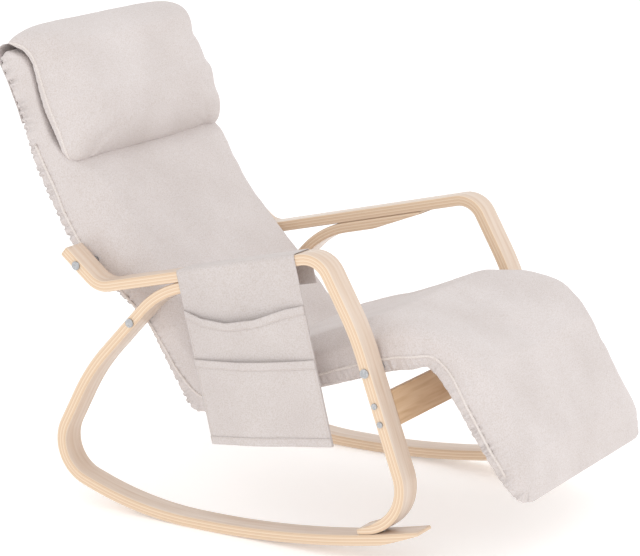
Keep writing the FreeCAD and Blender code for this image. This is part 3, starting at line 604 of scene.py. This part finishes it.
def cover_cap(p):
    """Thick wadding lets the cloth swell most; behind the pillow it lies nearly flat."""
    away = nearest(p[:, 1:], under_line)[0]
    cap = np.clip(away * 0.36, 0.003, 0.020)
    behind_pillow = np.clip((p[:, 2] - 0.66) / 0.08, 0.0, 1.0)
    return cap * (1.0 - behind_pillow) + 0.003 * behind_pillow


cover = padded_start("fitted_cover", under_line, edge_line,
                     np.maximum(crown_drop - swell, 0.0), cover_half, toe_corner,
                     top_corner)
stuffed(cover, 0.0062, cover_fixed, cover_cap, 0.007)

# folds in the canvas, and the ruffle that the elastic draws up along the lower side seams
points = coordinates(cover.data)
normals = np.array([v.normal for v in cover.data.vertices])
ruffle_pitch = 0.017
low_away, low_along = nearest(points[:, 1:], under_line)
top_along = nearest(points[:, 1:], edge_line)[1]
at_side = np.clip((np.abs(points[:, 0]) - 0.205) / 0.035, 0.0, 1.0)
wander = np.array([noise.noise(Vector((s * 11.0, x * 2.0, 3.7)))
                   for s, x in zip(low_along, points[:, 0])])
wave = np.sin(low_along * math.tau / ruffle_pitch + wander * 8.0) * (0.75 + 0.5 * wander)
ruffle = np.exp(-(low_away / 0.026) ** 2) * at_side * np.clip(low_away / 0.006, 0.15, 1.0)
drape = np.array([noise.fractal(Vector((x * 3.2, y * 6.0, z * 6.0)), 1.0, 2.1, 4)
                  for x, y, z in points])
pulls = np.array([noise.noise(Vector((x * 3.0, s * 22.0, 8.3)))
                  for x, s in zip(points[:, 0], top_along)])
near_edge = np.clip((np.abs(points[:, 0]) - 0.12) / 0.12, 0.0, 1.0)
on_face = np.clip(low_away / 0.02, 0.0, 1.0)
# 3 mm of soft unevenness all over, and pulls that run in from the side seams
shift = (0.0030 * drape + 0.0028 * pulls * near_edge) * on_face
points = points + normals * shift[:, None]
points[:, 0] += np.sign(points[:, 0]) * 0.0030 * ruffle * wave
set_coordinates(cover.data, points + normals * (0.0012 * ruffle * wave)[:, None])
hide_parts("back_pad", "seat_pad", "footrest_pad")
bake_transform(cover)


def tube(name, line, radius, material, closed=False, sides=8):
    """A round cord along a list of points, as a closed mesh."""
    line = [Vector(p) for p in line]
    count = len(line)
    points, faces = [], []
    side = None
    for index, spot in enumerate(line):
        if closed:
            ahead = (line[(index + 1) % count] - line[index - 1]).normalized()
        else:
            ahead = (line[min(index + 1, count - 1)] - line[max(index - 1, 0)]).normalized()
        if side is None:
            side = ahead.orthogonal().normalized()
        side = (side - ahead * side.dot(ahead)).normalized()
        up = ahead.cross(side)
        for step in range(sides):
            angle = math.tau * step / sides
            points.append(spot + (side * math.cos(angle) + up * math.sin(angle)) * radius)
    rows = count if closed else count - 1
    for row in range(rows):
        ahead_row = (row + 1) % count
        for step in range(sides):
            faces.append((row * sides + step, row * sides + (step + 1) % sides,
                          ahead_row * sides + (step + 1) % sides, ahead_row * sides + step))
    if not closed:
        faces.append(tuple(reversed(range(sides))))
        faces.append(tuple(range((count - 1) * sides, count * sides)))
    made = solid(name, points, faces, material)
    outward(made)
    return made


def on_surface(made, guides, times, closed=False):
    """The spots of a pad's skin nearest to a row of guide points, eased along the row."""
    skin = BVHTree.FromPolygons([v.co for v in made.data.vertices],
                                [p.vertices[:] for p in made.data.polygons])
    spots = np.array([skin.find_nearest(Vector(guide))[0] for guide in guides])
    for turn in range(times):
        if closed:
            spots = (np.roll(spots, 1, 0) + 2 * spots + np.roll(spots, -1, 0)) / 4.0
        else:
            spots[1:-1] = (spots[:-2] + 2 * spots[1:-1] + spots[2:]) / 4.0
    return spots


piping_canvas = canvas("cream_piping_canvas", "#e6dfdc", "#ddd5d1")
beside = 0.290  # the guide points stand clear of the cover's sides
seam_height = 0.45  # the corded seam's place between the underside and the side's top edge
for side, sign in (("left", 1), ("right", -1)):
    guides = [(sign * beside, *(spot * seam_height + low * (1.0 - seam_height)))
              for spot, low in zip(edge_line[8:-30], under_line[8:-30])]
    cord = tube(f"{side}_cover_piping", on_surface(cover, guides, 6), cord_radius,
                piping_canvas)
    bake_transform(cord)

# ---------------------------------------------------------------- head pillow
# A flat pillow with rounded corners and a corded seam round its face; a cloth flap carries
# it over the top of the back and holds it by its weight, so that it slides up and down.

# the pillow's back and face, as (Y, Z) in mm from its foot to its top
pillow_rear = [(444, 680), (452, 706), (466, 737), (493, 788), (509, 842), (521, 886),
               (547, 908), (592, 914)]
pillow_face = [(414, 684), (397, 706), (390, 745), (417, 832), (461, 912), (486, 950),
               (530, 966), (574, 947), (602, 918)]
pillow_half = 0.268
pillow_corner = 0.042
rear_line = softened(even(pillow_rear, 60), 3) / 1000.0
face_line = softened(even(pillow_face, 60), 3) / 1000.0


def pillow_fixed(p):
    """The pillow's back lies flat on the cover."""
    away = nearest(p[:, 1:], rear_line)[0]
    return (away < 0.004) & (p[:, 2] < 0.88)


def pillow_cap(p):
    """The pillow swells with its thickness."""
    away = nearest(p[:, 1:], rear_line)[0]
    return np.clip(away * 0.5, 0.002, 0.014)


# the side seam lies about a fifth of the way from the pillow's back to its face
seam_share = 0.22
seam_line = rear_line * (1.0 - seam_share) + face_line * seam_share
seam_rise = ((face_line - seam_line) * -inward(seam_line)).sum(1)
pillow_swell = 0.009
seam_rise = np.maximum(seam_rise - pillow_swell, 0.0)
pillow = padded_start("head_pillow", rear_line, seam_line, seam_rise, pillow_half,
                      pillow_corner, pillow_corner * 0.8)
stuffed(pillow, 0.0052, pillow_fixed, pillow_cap, 0.007)
points = coordinates(pillow.data)
normals = np.array([v.normal for v in pillow.data.vertices])
ripple = np.array([noise.fractal(Vector((x * 5.0, y * 7.0, z * 5.0 + 4.0)), 1.0, 2.0, 4)
                   for x, y, z in points])
set_coordinates(pillow.data, points + normals * (0.0016 * ripple)[:, None])
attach(pillow, "headrest")
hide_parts("headrest_pillow")

# the cord lies in the seam between the pillow's face and its back
seam_run = np.linspace(0.0, 1.0, len(seam_line))
seam_length = np.linalg.norm(np.diff(seam_line, axis=0), axis=1).sum()
guide_gap = 0.012


def seam_guide(x, run):
    """A guide point outside the pillow's side seam, a distance up it from its low end."""
    share = min(max(run / seam_length, 0.0), 1.0)
    spot = [np.interp(share, seam_run, seam_line[:, k]) for k in (0, 1)]
    low = seam_line[0] - seam_line[3]
    high = seam_line[-1] - seam_line[-4]
    past = (low / np.linalg.norm(low) * guide_gap if run < 0 else
            high / np.linalg.norm(high) * guide_gap if run > seam_length else (0.0, 0.0))
    return (x, spot[0] + past[0], spot[1] + past[1])


guides = []
reach = pillow_half + guide_gap
corner = pillow_corner + 0.006
low_run, high_run = -0.004, seam_length + 0.004
for corner_x, corner_run, first in ((reach - corner, low_run + corner, 270),
                                    (reach - corner, high_run - corner, 0),
                                    (-reach + corner, high_run - corner, 90),
                                    (-reach + corner, low_run + corner, 180)):
    for part in range(9):
        angle = math.radians(first + part * 11.25)
        guides.append((corner_x + corner * math.cos(angle),
                       corner_run + corner * math.sin(angle)))
guides.append(guides[0])
rows = even(guides, 300)[:-1]
spots = on_surface(pillow, [seam_guide(x, run) for x, run in rows], 4, True)
cord = tube("pillow_piping", spots, cord_radius, piping_canvas, True)
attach(cord, "headrest")

# the flap, from the pillow's top over the back and down behind it
flap_line = np.array([(0.5960, 0.9140), (0.6085, 0.9060), (0.6105, 0.893), (0.6040, 0.872),
                      (0.5880, 0.842), (0.5620, 0.785), (0.5520, 0.756)])
flap_out = inward(flap_line)
flap_half = 0.262
flap_thick = 0.0016
points, faces = [], []
columns, rows = 61, 30
flap_rows = even(np.concatenate([flap_line, flap_out], axis=1), rows)
for row in flap_rows:
    for column in range(columns):
        x = flap_half * (2 * column / (columns - 1) - 1)
        lift = flap_thick * (1 + noise.noise(Vector((x * 9.0, row[1] * 12.0, 1.0))))
        points.append((x, row[0] + row[2] * lift, row[1] + row[3] * lift))
for row in range(rows - 1):
    for column in range(columns - 1):
        here = row * columns + column
        faces.append((here, here + 1, here + columns + 1, here + columns))
flap = solid("pillow_flap", points, faces, cover_canvas)
thick = flap.modifiers.new("cloth", "SOLIDIFY")
thick.thickness = flap_thick
thick.offset = 0.0
plain(flap)
outward(flap)
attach(flap, "headrest")
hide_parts("headrest_flap")

# ---------------------------------------------------------------- side pocket
# A canvas caddy laid over the right arm: one long piece of cloth with a short flap inside,
# and two pockets sewn one over the other on the outside, each with a turned hem.

# the same cream canvas as the cover, its colours darkened as painted shade on the cloth hanging
# down the arm's side
shaded_bag_canvas = canvas("cream_canvas_caddy_painted_shade", "#d4cdcb", "#ccc4c2")
bag_width = 0.274
bag_drop = 0.345
bag_face = 0.3362
front_extra = 0.08
flap_drop = 0.062
# as (Y, Z): the front end of the cloth on the arm, the way along the arm, the way out of
# its top, and the way the cloth hangs
bag_front = Vector((-0.13875, 0.57247))
arm_way = Vector((0.97155, -0.23684))
arm_out = Vector((0.23684, 0.97155))
hang_way = Vector((-0.2430, -0.9700))
arm_lift = 0.0128


def hung_spot(run, drop, x):
    """A spot of cloth beside the arm, a run along it from the front and a drop below it.

    The cloth is cut longer at the front, which sets its foot level.
    """
    longer = 1.0 + front_extra - front_extra * run / bag_width
    spot = bag_front + arm_way * run + arm_out * arm_lift + hang_way * drop * longer
    return (x, spot.x, spot.y)


def panel_x(run, drop):
    """How far out the outer cloth hangs: close at the arm, then loose and slightly waved."""
    loose = min(max(drop / bag_drop, 0.0), 1.0)
    wave = noise.noise(Vector((run * 11.0, drop * 5.0, 2.2)))
    fold = math.sin(run * 30.0 + drop * 9.0)
    return -bag_face - loose * (0.0022 + 0.0016 * wave + 0.0012 * fold)


def cloth(name, columns, rows, spot_at, thickness=0.0012):
    """A sheet from a rule for each spot of its grid, given its thickness."""
    points = [spot_at(column / (columns - 1), row / (rows - 1))
              for row in range(rows) for column in range(columns)]
    faces = [(row * columns + column, row * columns + column + 1,
              (row + 1) * columns + column + 1, (row + 1) * columns + column)
             for row in range(rows - 1) for column in range(columns - 1)]
    made = solid(name, points, faces, shaded_bag_canvas)
    skin = made.modifiers.new("cloth", "SOLIDIFY")
    skin.thickness = thickness
    skin.offset = 0.0
    plain(made)
    outward(made)
    made.data.shade_smooth()
    return made


bend = 0.005
hem_width = 0.016
seam_gap = 0.003
over = 2 * (bag_face - strip_middle)
# a rounded bend is 0.43 of its radius shorter than the square corner it stands for
panel_length = flap_drop + over + bag_drop - 0.86 * bend


def panel_spot(across, down):
    """The long piece: up the inside, over the arm with rounded bends, down the outside."""
    run = across * bag_width
    travel = down * panel_length
    inside = flap_drop - bend
    arc = bend * math.pi / 2
    if travel < inside:
        return hung_spot(run, flap_drop - travel, -strip_middle + over / 2)
    travel -= inside
    if travel < arc:
        angle = travel / bend
        x = -strip_middle + over / 2 - bend + bend * math.cos(angle)
        return hung_spot(run, bend - bend * math.sin(angle), x)
    travel -= arc
    flat = over - 2 * bend
    if travel < flat:
        return hung_spot(run, 0.0, -strip_middle + over / 2 - bend - travel)
    travel -= flat
    if travel < arc:
        angle = travel / bend
        x = -strip_middle - over / 2 + bend - bend * math.sin(angle)
        return hung_spot(run, bend - bend * math.cos(angle), x)
    drop = bend + travel - arc
    drop = min(drop, bag_drop)
    return hung_spot(run, drop, panel_x(run, drop))


def rear_mouth(across):
    """The drop of the upper pocket's mouth, which sags between its corners."""
    return float(np.interp(across, [0, 0.15, 0.4, 0.65, 0.85, 1],
                           [0.091, 0.094, 0.107, 0.109, 0.097, 0.078]))


def rear_x(run, drop):
    """The upper pocket's cloth, held at its seams and standing off at its mouth."""
    across = run / bag_width
    free = math.sin(math.pi * min(max(across, 0.0), 1.0)) ** 0.7
    top = math.exp(-((drop - rear_mouth(across)) / 0.045) ** 2)
    wave = noise.noise(Vector((run * 16.0, drop * 9.0, 5.1)))
    fold = math.exp(-(((across - 0.30) * bag_width + (drop - 0.15) * 0.55) / 0.012) ** 2)
    return panel_x(run, drop) - 0.0015 - free * (0.0035 + 0.0070 * top + 0.0018 * wave
                                                 + 0.0030 * fold * top)


def front_mouth(across):
    """The drop of the lower pocket's mouth."""
    return 0.188 - 0.013 * across + 0.004 * math.sin(math.pi * across)


def front_x(run, drop):
    """The lower pocket's cloth over the upper one."""
    across = run / bag_width
    free = math.sin(math.pi * min(max(across, 0.0), 1.0)) ** 0.7
    top = math.exp(-((drop - front_mouth(across)) / 0.05) ** 2)
    wave = noise.noise(Vector((run * 13.0, drop * 8.0, 9.4)))
    return rear_x(run, drop) - 0.0015 - free * (0.0020 + 0.0045 * top + 0.0014 * wave)


def rear_spot(across, down):
    """The upper pocket, from its mouth to the foot."""
    drop = rear_mouth(across) * (1 - down) + (bag_drop - seam_gap) * down
    return hung_spot(across * bag_width, drop, rear_x(across * bag_width, drop))


def front_spot(across, down):
    """The lower pocket, from its mouth to the foot."""
    drop = front_mouth(across) * (1 - down) + (bag_drop - seam_gap) * down
    return hung_spot(across * bag_width, drop, front_x(across * bag_width, drop))


def hem_spot(mouth, face_x, width, out=0.0013):
    """A rule for a band of folded cloth along a mouth."""
    def spot(across, down):
        drop = mouth(across) + width * down
        run = across * bag_width
        return hung_spot(run, drop, face_x(run, drop) - out)
    return spot


bag_panel = cloth("caddy_panel", 80, 130, panel_spot)
bag_rear = cloth("caddy_upper_pocket", 80, 70, rear_spot)
bag_lower = cloth("caddy_lower_pocket", 80, 56, front_spot)
hem_thick = 0.0014
rear_hem = cloth("caddy_upper_hem", 80, 8, hem_spot(rear_mouth, rear_x, hem_width), hem_thick)
front_hem = cloth("caddy_lower_hem", 80, 8, hem_spot(front_mouth, front_x, hem_width),
                  hem_thick)


def foot_drop(across):
    """Where the hem along the foot begins."""
    return bag_drop - hem_width


foot_hem = cloth("caddy_foot_hem", 80, 8, hem_spot(foot_drop, front_x, hem_width),
                 hem_thick)

# stitches: short threads laid along each seam
thread, tree, shader = finish("cotton_thread")
# a tight twist, a little darker than the cloth
place = put(tree, "ShaderNodeTexCoord").outputs["Object"]
twist = put(tree, "ShaderNodeTexNoise", {"Scale": 900.0}, {"Vector": place})
tone = ramp(tree, twist.outputs["Fac"], [(0.3, "#c3b7ae"), (0.7, "#d1c5bc")])
tree.links.new(tone.outputs[0], shader.inputs["Base Color"])
shader.inputs["Roughness"].default_value = 0.8

stitching = bpy.data.node_groups.new("stitches", "GeometryNodeTree")
sockets = stitching.interface
sockets.new_socket("Seam", in_out="INPUT", socket_type="NodeSocketGeometry")
pitch_in = sockets.new_socket("Pitch", in_out="INPUT", socket_type="NodeSocketFloat")
size_in = sockets.new_socket("Thread", in_out="INPUT", socket_type="NodeSocketFloat")
seed_in = sockets.new_socket("Seed", in_out="INPUT", socket_type="NodeSocketInt")
sockets.new_socket("Stitches", in_out="OUTPUT", socket_type="NodeSocketGeometry")
given = put(stitching, "NodeGroupInput")
spots = put(stitching, "GeometryNodeCurveToPoints",
            links={"Curve": given.outputs["Seam"], "Length": given.outputs["Pitch"]},
            mode="LENGTH")
stitch = put(stitching, "GeometryNodeMeshUVSphere", {"Segments": 6, "Rings": 4})
stitch.inputs["Radius"].default_value = 1.0
jitter = put(stitching, "FunctionNodeRandomValue", {2: 0.9, 3: 1.15},
             {"Seed": given.outputs["Seed"]})
long = put(stitching, "ShaderNodeMath", {1: 3.2}, {0: given.outputs["Thread"]},
           operation="MULTIPLY")
shape = put(stitching, "ShaderNodeCombineXYZ", links={0: given.outputs["Thread"],
                                                      1: given.outputs["Thread"],
                                                      2: long.outputs[0]})
varied = put(stitching, "ShaderNodeVectorMath", links={0: shape.outputs[0],
                                                       "Scale": jitter.outputs[1]},
             operation="SCALE")
placed = put(stitching, "GeometryNodeInstanceOnPoints",
             links={"Points": spots.outputs["Points"], "Instance": stitch.outputs["Mesh"],
                    "Rotation": spots.outputs["Rotation"], "Scale": varied.outputs[0]})
real = put(stitching, "GeometryNodeRealizeInstances", links={0: placed.outputs[0]})
dyed = put(stitching, "GeometryNodeSetMaterial", {"Material": thread},
           {"Geometry": real.outputs[0]})
put(stitching, "NodeGroupOutput", links={"Stitches": dyed.outputs[0]})


def seams(name, lines):
    """Stitches along several lines of points, as one plain mesh."""
    curve = bpy.data.curves.new(name, "CURVE")
    curve.dimensions = "3D"
    for line in lines:
        spline = curve.splines.new("POLY")
        spline.points.add(len(line) - 1)
        for point, spot in zip(spline.points, line):
            point.co = (*spot, 1.0)
    made = bpy.data.objects.new(name, curve)
    bpy.context.scene.collection.objects.link(made)
    maker = made.modifiers.new("stitches", "NODES")
    maker.node_group = stitching
    maker[pitch_in.identifier] = 0.0046
    maker[size_in.identifier] = 0.00045
    maker[seed_in.identifier] = 7
    graph = bpy.context.evaluated_depsgraph_get()
    mesh = bpy.data.meshes.new_from_object(made.evaluated_get(graph))
    bpy.data.objects.remove(made)
    plain_made = bpy.data.objects.new(name, mesh)
    bpy.context.scene.collection.objects.link(plain_made)
    return plain_made


steps = [k / 120.0 for k in range(121)]
thread_lift = 0.0009
hem_rows = [[hem_spot(mouth, face_x, 0.0138, 0.0022)(a, 1.0) for a in steps]
            for mouth, face_x in ((rear_mouth, rear_x), (front_mouth, front_x))]
hem_rows.append([hem_spot(foot_drop, front_x, 0.002, 0.0022)(a, 1.0) for a in steps])
side_rows = []
for across in (0.018, 0.982):
    run = across * bag_width
    for face_x, high, low in ((rear_x, 0.115, 0.19), (front_x, 0.195, 0.34)):
        drops = [high + (low - high) * a for a in steps]
        side_rows.append([hung_spot(run, drop, face_x(run, drop) - thread_lift)
                          for drop in drops])
bag_seams = seams("caddy_stitches", hem_rows + side_rows)

for piece in (bag_panel, bag_rear, bag_lower, rear_hem, front_hem, foot_hem, bag_seams):
    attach(piece, "side_pocket")
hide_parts("bag_panel", "bag_arm_band", "bag_inner_flap")
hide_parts("bag_rear_pocket")
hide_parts("bag_front_pocket")

# ---------------------------------------------------------------- sizes
# The box round every shown part of the scene but the floor.

low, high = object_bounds()
